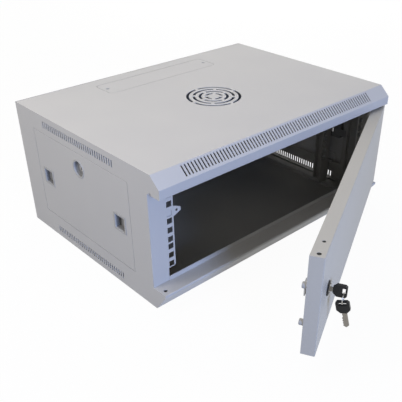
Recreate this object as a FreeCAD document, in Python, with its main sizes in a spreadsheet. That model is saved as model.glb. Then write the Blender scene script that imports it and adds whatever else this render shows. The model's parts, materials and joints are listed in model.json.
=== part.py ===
import FreeCAD, Part
import os
import re

import Sketcher
from FreeCAD import Placement, Rotation, Vector

# Wall mount network cabinet, 19-inch, single section, sheet steel.
# Frame: origin in the middle of the underside, X to the right, Y to the back, Z up.
# The door is drawn closed and then turned open on its hinge axis by doorAngle.

sizes = {
    # cabinet shell
    "width": (540, "across the side plates"),
    "depth": (400, "front of the hood to the back of the rear panel"),
    "height": (234, "underside to top"),
    "wall": (1.2, "sheet of the shell, panels and door"),
    "flange": (18, "rear flanges of top cover and bottom tray"),
    "bevelDepth": (19.2, "vented bevel at the top front, along Y"),
    "bevelDrop": (17.5, "vented bevel, along Z"),
    "fasciaDrop": (32.8, "top of the cabinet to the lower edge of the hood"),
    "hoodLip": (12, "stiffening lip turned up inside the hood"),
    "noseDepth": (23.5, "slanted nose under the door, along Y"),
    "ledgeHeight": (36.6, "underside to the ledge under the door"),
    "noseEdge": (4, "upright edge between nose and ledge"),
    "lipHeight": (8, "door stop lip behind the ledge"),
    "lipInset": (31, "end of the door stop lip from the cabinet side"),
    "doorRecess": (28.5, "front of the hood to the face of the front posts"),
    "reliefWidth": (5, "bend relief in the hood end"),
    "reliefHeight": (3, "bend relief in the hood end"),
    "reliefStart": (19.5, "bend relief from the front"),
    # vents
    "ventPitch": (6.2, "centre to centre of the vent slots"),
    "ventWidth": (2.8, "vent slot width"),
    "bevelVents": (71, "slots in the bevel"),
    "bevelVentStart": (3.5, "slot from the front of the hood, along Y"),
    "bevelVentRun": (13.8, "slot along Y"),
    "sideVents": (33, "slots in each side row"),
    "sideVentTall": (12, "slot height in the side rows"),
    "sideVentInset": (10, "side rows from the top and the underside"),
    # fan grille in the top
    "fanSetback": (186, "grille centre from the front"),
    "fanRings": (4, "broken rings of the grille"),
    "fanRing": (46.5, "outer ring, centre line radius"),
    "fanRingStep": (11, "radius from ring to ring"),
    "fanSlot": (5, "ring slot width"),
    "fanBridge": (5.5, "bridges across the ring slots"),
    # cable entries at the rear of top and bottom
    "entryLength": (252, "cover plate along X"),
    "entryDepth": (52, "cover plate along Y"),
    "entryBack": (54.5, "cover centre from the back"),
    "entryCorner": (8, "corner radius"),
    "entryGap": (0.6, "play around the cover plate"),
    "strapWidth": (22, "straps that carry the cover plate"),
    "strapOverlap": (8, "strap beyond the opening"),
    "strapInset": (10, "strap centre from the end of the cover plate"),
    # wall fixing
    "wallHoleSide": (50, "wall holes from the cabinet sides"),
    "wallHoleEnd": (42, "wall holes from top and underside"),
    "wallHoleDiameter": (9, "wall holes"),
    # 19-inch rail pattern
    "railInset": (45, "cabinet side to the edge of the rack tabs"),
    "holeInset": (7.56, "tab edge to the hole column"),
    "unitPitch": (44.45, "one rack unit"),
    "railUnits": (3, "rack units with square holes"),
    "holeStep": (15.875, "first to second, second to third hole of a unit"),
    "holeEdge": (6.35, "unit boundary to the nearest hole centre"),
    "squareHole": (9.5, "side of a square hole"),
    "tabBottom": (59.2, "underside of the cabinet to the lowest unit boundary"),
    "tabCorner": (4, "rounded corners of the tab"),
    "postWall": (1.5, "sheet of posts, rails and channels"),
    "postReturn": (24, "post leg along the side plate"),
    "postWidth": (31.5, "cabinet side to the edge of the narrow post"),
    "earthTall": (17, "earth bracket, height"),
    "earthWall": (1.5, "earth bracket sheet"),
    "earthReach": (15, "earth bracket beyond the tab"),
    "earthTip": (3, "earth bracket, half height of the tip and start of the taper"),
    "earthBore": (4.3, "hole for the earth screw"),
    # adjustable rear rails and their channels
    "railSetback": (107, "face of the rear rail from the front"),
    "railSide": (20, "cabinet side to the outside of the rail"),
    "railDepth": (28, "rail along Y"),
    "railReturn": (12, "rear return of the rail"),
    "railGap": (0.3, "play between rail foot and channel"),
    "footLength": (26, "rail foot along Y"),
    "footReach": (15, "rail foot beyond the rail, towards the side"),
    "channelWidth": (30, "depth channel along X"),
    "channelTall": (8, "depth channel along Z"),
    "channelStart": (54, "channel from the front"),
    "channelBack": (3, "channel end from the back"),
    "channelSlot": (7, "slot width"),
    "channelSlotStart": (88, "slot from the front"),
    "channelSlotBack": (50, "slot end from the back"),
    "boltNeck": (6, "square neck of the rail bolt"),
    "boltPlay": (0.3, "rail foot around the neck"),
    "boltFlats": (10, "across flats of head and nut"),
    "boltHeadTall": (4, "bolt head"),
    "boltNutTall": (4.6, "nut in the channel"),
    "boltBack": (16, "bolt from the face of the rail"),
    # removable side panels
    "panelFront": (76, "front of the cabinet to the panel"),
    "panelBack": (54, "panel to the back of the cabinet"),
    "panelBelow": (43, "underside of the cabinet to the panel"),
    "panelAbove": (33, "panel to the top of the cabinet"),
    "panelGap": (0.8, "play around the panel"),
    "panelReturn": (8.5, "folded edge of the panel"),
    "seatDepth": (10, "outside of the side plate to the seat lip"),
    "seatLip": (8, "width of the seat lip"),
    "hookWidth": (30, "hooks at the panel foot, along Y"),
    "hookInset": (45, "hook centre from the panel end"),
    "hookReach": (5, "hook below the edge of the seat lip"),
    "hookGap": (0.4, "play between hook and seat lip"),
    "hookFoot": (15, "welded foot of the hook above its shelf"),
    # side locks
    "sideLockDrop": (28, "lock centre below the upper edge of the panel"),
    "cupDiameter": (32, "round escutcheon"),
    "cupProud": (0.8, "escutcheon proud of the panel"),
    "cupBore": (26, "recess in the escutcheon"),
    "cupDepth": (5.5, "recess depth below the panel face"),
    "sideCamReach": (29, "cam from the lock centre"),
    "lipPlay": (0.6, "cam behind the seat lip"),
    "clipWall": (1.2, "push-on clips of the locks"),
    "clipSquare": (36, "clip of a side lock, along each side"),
    # slide latches
    "latchInset": (29, "latch centre from the panel end"),
    "latchDrop": (2.5, "latch centre below the panel centre"),
    "latchBezel": (31, "outside of the latch bezel"),
    "latchBody": (27.6, "outside of the latch body"),
    "latchPocket": (24.4, "finger pocket"),
    "latchDepth": (10.8, "latch body behind the panel face"),
    "latchFloor": (1.2, "floor of the finger pocket"),
    "latchPadWall": (4, "finger pad, out of the panel"),
    "latchPlay": (0.3, "running play of the slide"),
    "latchTravel": (7, "slide travel"),
    "latchNeck": (8, "neck of the slide through the floor"),
    "latchPad": (11, "finger pad along Y"),
    "latchPadTall": (19, "finger pad along Z"),
    "latchBoltWall": (1.8, "bolt plate thickness"),
    "latchBoltTall": (14, "bolt plate along Z"),
    "latchBite": (5.6, "bolt behind the seat lip"),
    # door
    "doorAngle": (26.9, "door opening, degrees"),
    "doorThickness": (20, "outer face to inner rim"),
    "doorSetback": (1.5, "outer face behind the front of the hood"),
    "doorGap": (1.5, "play below"),
    "doorTopGap": (4, "play above"),
    "doorSideGap": (1.5, "door end to cabinet side"),
    "doorLip": (12, "inner lip of the folded edge"),
    "doorEdge": (1.4, "outer bend radius"),
    "hingeInset": (9, "hinge axis from the cabinet side"),
    "hingeSetback": (11, "hinge axis from the front"),
    "spareHolePitch": (28.6, "second hole from the pin hole at the free end"),
    "spareHole": (5, "second hole at the free end"),
    "holeSides": (12, "flats of the small holes in door and brackets"),
    "pinDiameter": (6, "hinge pins"),
    "pinFit": (0.08, "radial running fit of the pins"),
    "pinReach": (8, "pins into hood and ledge"),
    "pinFoot": (8, "upper pin below the lower ear"),
    "pinGrip": (4, "six-sided grip of the upper pin, across flats"),
    "pinGripLength": (20, "grip from the pin axis"),
    "pinCollar": (9, "six-sided collar, across flats"),
    "pinCollarTall": (2, "collar height"),
    "pinCollarPlay": (0.3, "collar below the upper ear"),
    "earWall": (1.5, "hinge bracket sheet"),
    "earSpan": (40, "upper hinge bracket, over both ears"),
    "lowerEarSpan": (16, "lower hinge bracket, along Z"),
    "bracketDrop": (10, "upper hinge bracket below the inside of the door edge"),
    "bracketWidth": (16, "hinge bracket along X"),
    "bracketDepth": (15, "hinge bracket along Y"),
    "springWire": (0.8, "spring wire"),
    "springTurns": (5, "spring turns"),
    "springSteps": (8, "straight stretches in a turn"),
    "shoulderFlats": (10, "six-sided shoulder of the lower pin, across flats"),
    "shoulderGap": (0.3, "shoulder to ledge"),
    "bufferDiameter": (9, "rubber buffers"),
    "bufferSpacing": (60, "centre to centre"),
    "bufferInset": (6, "buffer centre from the door end"),
    "bufferStop": (0.5, "buffer to post, door closed"),
    # door lock
    "lockInset": (51, "lock centre from the cabinet side"),
    "lockFlange": (22, "lock head diameter"),
    "lockFlangeTall": (2.4, "lock head height"),
    "barrelFlats": (18, "eight-sided lock barrel, across flats"),
    "barrelStop": (1, "barrel to post, door closed"),
    "lockClip": (26, "clip of the door lock, along each side"),
    "fitPlay": (0.1, "play around parts that are fixed in a hole"),
    "strikePlay": (0.6, "door cam behind the post tab"),
    "coreDiameter": (11, "turning core"),
    "coreFit": (0.08, "radial running fit of the core"),
    "coreStub": (7, "square behind the core"),
    "camWall": (2, "cam thickness"),
    "camWidth": (11, "cam width"),
    "camTip": (7, "width of the cam at its tip"),
    "camReach": (19, "door cam from the lock centre"),
    "camGap": (0.4, "side lock body to cam"),
    # keys and ring
    "keyWall": (2.2, "key blade thickness"),
    "keyBlade": (8, "key blade width"),
    "keyPlay": (0.3, "keyway play"),
    "keyRoot": (8, "blade inside the key head"),
    "keyTip": (3, "pointed end of the blade"),
    "keyTeeth": (4, "teeth"),
    "keyTooth": (4, "tooth pitch"),
    "keyCut": (1.6, "tooth depth"),
    "keyDepth": (20, "blade inside the core"),
    "bowStandoff": (4.5, "lock head to key head"),
    "bowLength": (19, "key head along the key"),
    "bowTall": (19, "key head across the key"),
    "bowWall": (5, "key head thickness"),
    "bowCorner": (2.5, "clipped outer corners of the key head"),
    "bowShoulder": (5, "clipped shoulders towards the blade"),
    "slotInset": (4.5, "ring slot centre from the key head end"),
    "slotTall": (11, "ring slot across the key"),
    "slotWide": (4.2, "ring slot along the key"),
    "ringRadius": (8, "key ring, centre line"),
    "ringWire": (1.6, "key ring wire"),
    "ringSides": (24, "sides of the key ring"),
    "ringPlay": (0.7, "ring to slot edge"),
    "spareTilt": (14, "lean of the hanging key, degrees"),
}

# places and sizes that follow from the sizes above
places = {
    # shell
    "postFace": "-depth/2 + doorRecess",
    "hoodLow": "height - fasciaDrop",
    "sideInner": "width/2 - wall",
    "rearInner": "depth/2 - wall",
    "noseRise": "ledgeHeight - noseEdge",
    "noseSlope": "sqrt(noseDepth^2 + noseRise^2)",
    "bevelSlope": "sqrt(bevelDepth^2 + bevelDrop^2)",
    "entryY": "depth/2 - entryBack",
    "strapX": "entryLength/2 - strapInset",
    # rails
    "railOpening": "width - 2*railInset",
    "railCentres": "railOpening + 2*holeInset",
    "postEdge": "width/2 - postWidth",
    "tabTall": "railUnits*unitPitch",
    "railY": "-depth/2 + railSetback",
    "railBack": "width/2 - railSide",
    "footLow": "wall + channelTall + railGap",
    "boltX": "railBack + footReach/2",
    "boltY": "railY + boltBack",
    "channelInner": "sideInner - channelWidth",
    "earthZ": "tabBottom + tabTall - unitPitch + holeEdge",
    # side panels, their locks and latches
    "panelLength": "depth - panelFront - panelBack",
    "panelHeight": "height - panelBelow - panelAbove",
    "panelY": "(panelFront - panelBack)/2",
    "panelZ": "(height + panelBelow - panelAbove)/2",
    "lipEdge": "panelBelow - panelGap + seatLip",
    "lockZ": "height - panelAbove - sideLockDrop",
    "cupBody": "cupBore + 2*wall",
    "cupBack": "seatDepth + lipPlay - camGap",
    "latchY": "-depth/2 + panelFront + latchInset",
    "latchZ": "panelZ - latchDrop",
    "slideY": "latchY - latchTravel/2",
    "boltTip": "-depth/2 + panelFront - panelGap + seatLip - latchBite",
    # door, its hinges and lock
    "hingeX": "width/2 - hingeInset",
    "hingeY": "-depth/2 + hingeSetback",
    "doorOuter": "-depth/2 + doorSetback",
    "doorRim": "doorOuter + doorThickness",
    "doorLow": "ledgeHeight + doorGap",
    "doorHigh": "hoodLow - doorTopGap",
    "doorEnd": "width/2 - doorSideGap",
    "doorMiddle": "(doorLow + doorHigh)/2",
    "earLow": "doorHigh - wall - bracketDrop - earSpan",
    "pinTop": "hoodLow + pinReach",
    "pinLow": "earLow - pinFoot",
    "collarLow": "earLow + earSpan - earWall - pinCollarPlay - pinCollarTall",
    "springLow": "earLow + earWall + fitPlay + springWire/2",
    "springRise": "collarLow - fitPlay - springWire/2 - springLow",
    "springRadius": "pinDiameter/2 + springWire",
    "lockX": "-width/2 + lockInset",
    "strikeY": "postFace + postWall + strikePlay",
    "barrelBack": "postFace - barrelStop",
    "headY": "doorOuter - lockFlangeTall",
    "camEnd": "strikeY + camWall",
    # keys and ring
    "bladeFrom": "bowLength - slotInset - keyRoot",
    "bladeTo": "bowLength - slotInset + bowStandoff + keyDepth",
    "keyY": "headY - bowStandoff - bowLength + slotInset",
    "ringZ": "doorMiddle - slotTall/2 + ringWire/2 + ringPlay - ringRadius",
    "spareZ": "ringZ - ringRadius",
    "spareDrop": "slotWide/2 - ringWire/2 - ringPlay",
}

doc = FreeCAD.newDocument("wallCabinet")
sheet = doc.addObject("Spreadsheet::Sheet", "Sizes")
for row, (name, (value, note)) in enumerate(sizes.items(), 1):
    sheet.set("A%d" % row, name)
    sheet.set("B%d" % row, str(value))
    sheet.set("C%d" % row, note)
    sheet.setAlias("B%d" % row, name)
doc.recompute()

# turns that lay a sketch or an axis in the cabinet's planes
flat = Rotation()
upright = Rotation(Vector(1, 0, 0), 90)
sideways = Rotation(Vector(0, 1, 0), Vector(0, 0, 1), Vector(1, 0, 0), "ZXY")
towardsX = Rotation(Vector(0, 1, 0), 90)
towardsY = Rotation(Vector(1, 0, 0), -90)
turns = {"flat": flat, "upright": upright, "sideways": sideways}
normals = {"flat": Vector(0, 0, 1), "upright": Vector(0, -1, 0), "sideways": Vector(1, 0, 0)}
# side on which a folded sheet grows, as the sign of its offset
growth = {"flat": "", "upright": "-", "sideways": ""}

nodes = []
pockets = []


def sized(text):
    # sizes in a formula become cells of the sheet, places become their own formulas
    return re.sub(r"[A-Za-z]\w*", lambda word: cell(word.group()), str(text))


def cell(word):
    if word in places:
        return "(%s)" % sized(places[word])
    return "Sizes." + word if word in sizes else word


def bind(thing, **formulas):
    for key, text in formulas.items():
        thing.setExpression(key.replace("_", "."), sized(text))
    return thing


def put(thing, at, turn=flat):
    # place an object by three formulas
    thing.Placement = Placement(Vector(), turn)
    return bind(thing, Placement_Base_x=at[0], Placement_Base_y=at[1], Placement_Base_z=at[2])


def block(x, y, z, name="block"):
    # box between pairs of formulas
    box = doc.addObject("Part::Box", name)
    bind(box, Length="(%s) - (%s)" % (x[1], x[0]), Width="(%s) - (%s)" % (y[1], y[0]))
    bind(box, Height="(%s) - (%s)" % (z[1], z[0]))
    return put(box, (x[0], y[0], z[0]))


def around(middle, reach):
    # pair of formulas, as far on each side of the middle
    return ("(%s) - (%s)" % (middle, reach), "(%s) + (%s)" % (middle, reach))


def rod(diameter, at, length, turn=flat):
    cylinder = doc.addObject("Part::Cylinder", "rod")
    bind(cylinder, Radius="(%s)/2" % diameter, Height=length)
    return put(cylinder, at, turn)


def prism(sides, flats, at, length, turn=flat):
    # regular prism with a flat towards its own X
    bar = doc.addObject("Part::Prism", "prism")
    bar.Polygon = sides
    bind(bar, Circumradius="(%s)/2/cos(180deg/%d)" % (flats, sides), Height=length)
    return put(bar, at, turn * Rotation(Vector(0, 0, 1), 180/sides))


def fuse(*shapes):
    if len(shapes) == 1:
        return shapes[0]
    joined = doc.addObject("Part::MultiFuse", "joined")
    joined.Shapes = list(shapes)
    return joined


def cut(base, *tools):
    left = doc.addObject("Part::Cut", "cut")
    left.Base = base
    left.Tool = fuse(*tools)
    return left


def group(*shapes):
    together = doc.addObject("Part::Compound", "group")
    together.Links = list(shapes)
    return together


def twin(shape, normal, at=(0, 0, 0)):
    # mirror image in a plane
    image = doc.addObject("Part::Mirroring", "twin")
    image.Source = shape
    image.Normal = Vector(*normal)
    return bind(image, Base_x=at[0], Base_y=at[1], Base_z=at[2])


def node(name, shape):
    # finished piece: the label is its name everywhere
    shape.Label = name
    nodes.append(shape)
    return shape


def both(name, shape):
    # left piece and its mirrored right twin
    node("left_" + name, shape)
    node("right_" + name, twin(shape, (1, 0, 0)))


def outline(points, closed=True, body=None):
    # sketch through points, each held by two bound distances from the origin
    if body:
        sketch = body.newObject("Sketcher::SketchObject", "outline")
    else:
        sketch = doc.addObject("Sketcher::SketchObject", "outline")
    count = len(points)
    lines = count if closed else count - 1
    seed = [Vector(10.0*i, 7.0*i*i, 0) for i in range(count)]
    for i in range(lines):
        sketch.addGeometry(Part.LineSegment(seed[i], seed[(i + 1) % count]))
    for i in range(lines - 1):
        sketch.addConstraint(Sketcher.Constraint("Coincident", i, 2, i + 1, 1))
    if closed:
        sketch.addConstraint(Sketcher.Constraint("Coincident", lines - 1, 2, 0, 1))
    for i, point in enumerate(points):
        line, end = (i, 1) if i < lines else (lines - 1, 2)
        for kind, start, text in (("DistanceX", seed[i].x, point[0]), ("DistanceY", seed[i].y, point[1])):
            held = sketch.addConstraint(Sketcher.Constraint(kind, -1, 1, line, end, start))
            sketch.setExpression("Constraints[%d]" % held, sized(text))
    return sketch


def corners(x, y):
    return [(x[0], y[0]), (x[1], y[0]), (x[1], y[1]), (x[0], y[1])]


def extruded(profile, length, plane, symmetric=False):
    bar = doc.addObject("Part::Extrusion", "bar")
    bar.Base = profile
    bar.DirMode = "Custom"
    bar.Dir = normals[plane]
    bar.Solid = True
    bar.Symmetric = symmetric
    return bind(bar, LengthFwd=length)


def plate(points, at, length, plane):
    # flat plate with a straight-sided outline
    return extruded(put(outline(points), at, turns[plane]), length, plane)


def rounded(width, tall, corner, at, length, plane):
    # bar with corners of three flats each, from its middle along the normal of its plane
    points = []
    for quarter, (right, up) in enumerate(((1, -1), (1, 1), (-1, 1), (-1, -1))):
        for step in range(4):
            angle = 90*(quarter - 1) + 30*step
            points.append(("%d*(%s)/2 + (cos(%ddeg) - %d)*(%s)" % (right, width, angle, right, corner),
                           "%d*(%s)/2 + (sin(%ddeg) - %d)*(%s)" % (up, tall, angle, up, corner)))
    return plate(points, at, length, plane)


def folded(points, sheetWall, length, plane, at, sharp=False):
    # sheet folded along a path with round or sharp bends; the wall grows to the right of the path
    section = doc.addObject("Part::Offset2D", "section")
    section.Source = put(outline(points, closed=False), at, turns[plane])
    section.Mode = "Skin"
    section.Join = 2 if sharp else 0
    section.Fill = True
    bind(section, Value=growth[plane] + sheetWall)
    return extruded(section, length, plane, symmetric=True)


def origin(body, role):
    return [item for item in body.Origin.OriginFeatures if item.Role == role][0]


def vented(base, rows):
    # rows of equal slots, each a pocket repeated by a linear pattern
    body = doc.addObject("PartDesign::Body", "vented")
    body.BaseFeature = base
    for row in rows:
        sketch = outline(row["slot"], body=body)
        sketch.AttachmentSupport = [(origin(body, row["plane"]), "")]
        sketch.MapMode = "FlatFace"
        bind(sketch, AttachmentOffset_Base_z=row["from"])
        pocket = body.newObject("PartDesign::Pocket", "slot")
        pocket.Profile = sketch
        bind(pocket, Length=row["deep"])
        pattern = body.newObject("PartDesign::LinearPattern", "row")
        pattern.Originals = [pocket]
        pattern.Direction = (origin(body, row["axis"]), [""])
        bind(pattern, Occurrences=row["count"], Length="ventPitch*(%s - 1)" % row["count"])
        body.Tip = pattern
        pockets.append(pocket)
    return body


def entryHole():
    # rear cable entry through top or bottom
    return rounded("entryLength + 2*entryGap", "entryDepth + 2*entryGap", "entryCorner + entryGap",
                   (0, "entryY", "height - 4*wall"), "5*wall", "flat")


def grille():
    # four broken rings over the fan position
    rings = []
    for start, turned in ((0, 0), (1, 45)):
        tracks = []
        for number in range(start, sizes["fanRings"][0], 2):
            middle = "2*(fanRing - %d*fanRingStep)" % number
            tracks.append(cut(rod(middle + " + fanSlot", (0, 0, 0), "4*wall"),
                              rod(middle + " - fanSlot", (0, 0, "-wall"), "6*wall")))
        reach = around(0, "2*fanRing")
        thick = around(0, "fanBridge/2")
        bridges = fuse(block(reach, thick, ("-wall", "5*wall")), block(thick, reach, ("-wall", "5*wall")))
        bridges.Placement = Placement(Vector(), Rotation(Vector(0, 0, 1), turned))
        rings.append(cut(fuse(*tracks), bridges))
    return put(fuse(*rings), (0, "-depth/2 + fanSetback", "height - 3*wall"))


def straps(z):
    # two straps across a cable entry carry its cover
    reach = around("entryY", "entryDepth/2 + strapOverlap")
    return [block(around(side + "strapX", "strapWidth/2"), reach, z, "strap") for side in ("-", "")]


def pinHole(side, z):
    return rod("pinDiameter + 2*pinFit", (side + "hingeX", "hingeY", z), "4*wall")


overHalf = (0, 0, "height/2")

# top cover: rear flange, top, vented bevel, fascia, hood return and stiffening lip in one folded sheet
hoodPath = [
    ("depth/2 - 2*wall", "height - flange"),
    ("depth/2 - 2*wall", "height - wall"),
    ("-depth/2 + bevelDepth + wall*bevelDrop/(bevelSlope + bevelDepth)", "height - wall"),
    ("-depth/2 + wall", "height - bevelDrop - wall*bevelDepth/(bevelSlope + bevelDrop)"),
    ("-depth/2 + wall", "hoodLow + wall"),
    ("postFace - wall", "hoodLow + wall"),
    ("postFace - wall", "hoodLow + wall + hoodLip"),
]
bevelRow = {
    "plane": "XY_Plane", "axis": "X_Axis", "from": "height", "deep": "bevelDrop + 3*wall",
    "count": "bevelVents",
    "slot": corners(around("-ventPitch*(bevelVents - 1)/2", "ventWidth/2"),
                    ("-depth/2 + bevelVentStart", "-depth/2 + bevelVentStart + bevelVentRun")),
}
cover = vented(folded(hoodPath, "wall", "width - 2*wall", "sideways", (0, 0, 0)), [bevelRow])
node("top_cover", cut(fuse(cut(cover, grille(), entryHole()), *straps(("height - 2*wall", "height - wall"))),
                      pinHole("", "hoodLow - wall")))

# bottom tray: rear flange, floor, slanted nose, ledge and door stop lip in one folded sheet
trayPath = [
    ("postFace", "ledgeHeight + lipHeight"),
    ("postFace", "ledgeHeight - wall"),
    ("-depth/2 + wall", "ledgeHeight - wall"),
    ("-depth/2 + wall", "noseRise + wall*noseDepth/(noseSlope + noseRise)"),
    ("-depth/2 + noseDepth + wall*noseRise/(noseSlope + noseDepth)", "wall"),
    ("depth/2 - 2*wall", "wall"),
    ("depth/2 - 2*wall", "flange"),
]
tray = folded(trayPath, "wall", "width - 2*wall", "sideways", (0, 0, 0))
lipEnds = [block(x, ("postFace - 2*wall", "postFace + wall"), ("ledgeHeight", "ledgeHeight + 2*lipHeight"))
           for x in (("-width/2", "-width/2 + lipInset"), ("width/2 - lipInset", "width/2"))]
node("bottom_tray", cut(fuse(cut(tray, twin(entryHole(), (0, 0, 1), overHalf), *lipEnds),
                             *straps(("wall", "2*wall"))),
                        pinHole("-", "ledgeHeight - 3*wall"), pinHole("", "ledgeHeight - 3*wall")))

# cable covers, flush in the entries of top and bottom
cableCover = rounded("entryLength", "entryDepth", "entryCorner", (0, "entryY", "height - wall"), "wall",
                     "flat")
node("top_cable_cover", cableCover)
node("bottom_cable_cover", twin(cableCover, (0, 0, 1), overHalf))

# rear panel, spot-welded to the flanges, with the four wall holes
wallHoles = [rod("wallHoleDiameter", (x, "depth/2 - 3*wall", z), "4*wall", towardsY)
             for x in around(0, "width/2 - wallHoleSide") for z in ("wallHoleEnd", "height - wallHoleEnd")]
node("rear_panel", cut(block(around(0, "sideInner"), ("rearInner", "depth/2"), (0, "height")), *wallHoles))

# side frame: plate with vent rows and a sunk seat for the removable panel
sideOutline = [
    ("depth/2", 0),
    ("-depth/2 + noseDepth", 0),
    ("-depth/2", "noseRise"),
    ("-depth/2", "ledgeHeight"),
    ("postFace", "ledgeHeight"),
    ("postFace", "hoodLow"),
    ("-depth/2 + reliefStart + reliefWidth", "hoodLow"),
    ("-depth/2 + reliefStart + reliefWidth", "hoodLow + reliefHeight"),
    ("-depth/2 + reliefStart", "hoodLow + reliefHeight"),
    ("-depth/2 + reliefStart", "hoodLow"),
    ("-depth/2", "hoodLow"),
    ("-depth/2", "height - bevelDrop"),
    ("-depth/2 + bevelDepth", "height"),
    ("depth/2", "height"),
]


def sideRow(low, high):
    return {"plane": "YZ_Plane", "axis": "Y_Axis", "from": "-width/2 + 2*wall", "deep": "3*wall",
            "count": "sideVents",
            "slot": corners(around("panelY - ventPitch*(sideVents - 1)/2", "ventWidth/2"), (low, high))}


def panelBlock(depthFrom, depthTo, extra):
    # box on the panel's outline, larger by extra, between two depths from the cabinet side
    return block(("-width/2 + (%s)" % depthFrom, "-width/2 + (%s)" % depthTo),
                 around("panelY", "panelLength/2 + " + extra), around("panelZ", "panelHeight/2 + " + extra))


sidePlate = vented(plate(sideOutline, ("-width/2", 0, 0), "wall", "sideways"),
                   [sideRow("sideVentInset", "sideVentInset + sideVentTall"),
                    sideRow("height - sideVentInset - sideVentTall", "height - sideVentInset")])
both("side_frame", cut(fuse(sidePlate, panelBlock("0", "seatDepth", "panelGap + wall")),
                       panelBlock("-wall", "seatDepth - wall", "panelGap"),
                       panelBlock("0", "2*seatDepth", "panelGap - seatLip")))


# removable side panel: folded pan with two foot hooks, openings for a lock and two latches
def hook(y):
    # bent strip: tongue behind the seat lip, shelf over it, welded foot
    path = [
        ("-width/2 + seatDepth + hookGap", "lipEdge - hookReach"),
        ("-width/2 + seatDepth + hookGap", "lipEdge + hookGap"),
        ("-width/2 + wall", "lipEdge + hookGap"),
        ("-width/2 + wall", "lipEdge + hookGap + hookFoot"),
    ]
    return folded(path, "wall", "hookWidth", "upright", (0, y, 0), sharp=True)


def frontAndRear(shape):
    return [shape, twin(shape, (0, 1, 0), (0, "panelY", 0))]


pan = cut(panelBlock("0", "panelReturn", "0"), panelBlock("wall", "2*panelReturn", "-wall"))
hooks = [hook(y) for y in around("panelY", "panelLength/2 - hookInset")]
latchHole = block(("-width/2 - wall", "-width/2 + 3*wall"), around("latchY", "latchBody/2 + fitPlay"),
                  around("latchZ", "latchBody/2 + fitPlay"))
lockHole = prism(8, "cupBody + 2*fitPlay", ("-width/2 - wall", "panelY", "lockZ"), "4*wall", towardsX)
both("side_panel", cut(fuse(pan, *hooks), *frontAndRear(latchHole), lockHole))


# side lock: escutcheon with eight-sided body, push-on clip, turning core and cam
def lockRod(diameter, depthFrom, depthTo):
    return rod(diameter, ("-width/2 + (%s)" % depthFrom, "panelY", "lockZ"),
               "(%s) - (%s)" % (depthTo, depthFrom), towardsX)


def lockBlock(depthFrom, depthTo, deep, tall):
    return block(("-width/2 + (%s)" % depthFrom, "-width/2 + (%s)" % depthTo), around("panelY", deep + "/2"),
                 around("lockZ", tall + "/2"))


cupBody = prism(8, "cupBody", ("-width/2", "panelY", "lockZ"), "cupBack", towardsX)
cup = cut(fuse(lockRod("cupDiameter", "-cupProud", "0"), cupBody),
          lockRod("cupBore", "-2*cupProud", "cupDepth"),
          lockRod("coreDiameter + 2*coreFit", "0", "2*seatDepth"))
clip = cut(lockBlock("wall", "wall + clipWall", "clipSquare", "clipSquare"), lockHole)
node("side_lock_bodies", group(cup, twin(cup, (1, 0, 0))))
node("side_lock_clips", group(clip, twin(clip, (1, 0, 0))))
sideKeyway = lockBlock("0", "2*cupDepth", "(keyWall + keyPlay)", "(keyBlade + keyPlay)")
sideStub = lockBlock("cupDepth", "cupBack + camGap + camWall", "coreStub", "coreStub")
both("side_lock_core", cut(fuse(lockRod("coreDiameter", "cupDepth - keyPlay", "cupBack + camGap"), sideStub),
                           sideKeyway))


def camPlate(reach, at, plane):
    # tapered cam that points down the second axis of its plane when reach is negative
    tall = "%scamWidth/2" % ("" if reach.startswith("-") else "-")
    points = [("-camWidth/2", tall), ("-camWidth/2", 0), ("-camTip/2", reach), ("camTip/2", reach),
              ("camWidth/2", 0), ("camWidth/2", tall)]
    return plate(points, at, "camWall", plane)


sideCam = camPlate("sideCamReach", ("-width/2 + cupBack + camGap", "panelY", "lockZ"), "sideways")
both("side_lock_cam", cut(sideCam, lockBlock("0", "3*seatDepth", "coreStub", "coreStub")))


# slide latches: housing with a finger pocket, and the slide whose bolt bites behind the seat lip
def latchBlock(depthFrom, depthTo, y, z):
    return block(("-width/2 + (%s)" % depthFrom, "-width/2 + (%s)" % depthTo), y, around("latchZ", z))


def latchSquare(depthFrom, depthTo, side):
    return latchBlock(depthFrom, depthTo, around("latchY", side + "/2"), side + "/2")


housing = cut(
    fuse(latchSquare("-cupProud", "0", "latchBezel"), latchSquare("-cupProud", "latchDepth", "latchBody")),
    latchSquare("-2*cupProud", "latchDepth - latchFloor", "latchPocket"),
    latchBlock("0", "2*latchDepth", around("latchY", "latchTravel/2 + latchNeck/2 + latchPlay"),
               "latchNeck/2 + latchPlay"))
padDepth = ("latchDepth - latchFloor - latchPlay - latchPadWall", "latchDepth - latchFloor - latchPlay")
boltDepth = ("latchDepth + latchPlay", "latchDepth + latchPlay + latchBoltWall")
slide = fuse(
    latchBlock(*padDepth, around("slideY", "latchPad/2"), "latchPadTall/2"),
    latchBlock(padDepth[0], boltDepth[1], around("slideY", "latchNeck/2"), "latchNeck/2"),
    latchBlock(*boltDepth, ("boltTip", "slideY + latchNeck/2 + latchBoltWall"), "latchBoltTall/2"))
for name, shape in (("latch_housing", housing), ("latch_slide", slide)):
    for end, latch in zip(("front_", "rear_"), frontAndRear(shape)):
        both(end + name, latch)


def squareHoles(y):
    # three square holes in each rack unit, on the 19-inch pattern
    holes = []
    for unit in range(sizes["railUnits"][0]):
        for step in range(3):
            z = "tabBottom + %d*unitPitch + holeEdge + %d*holeStep" % (unit, step)
            holes.append(block(around("-railCentres/2", "squareHole/2"), y, around(z, "squareHole/2")))
    return holes


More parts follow.
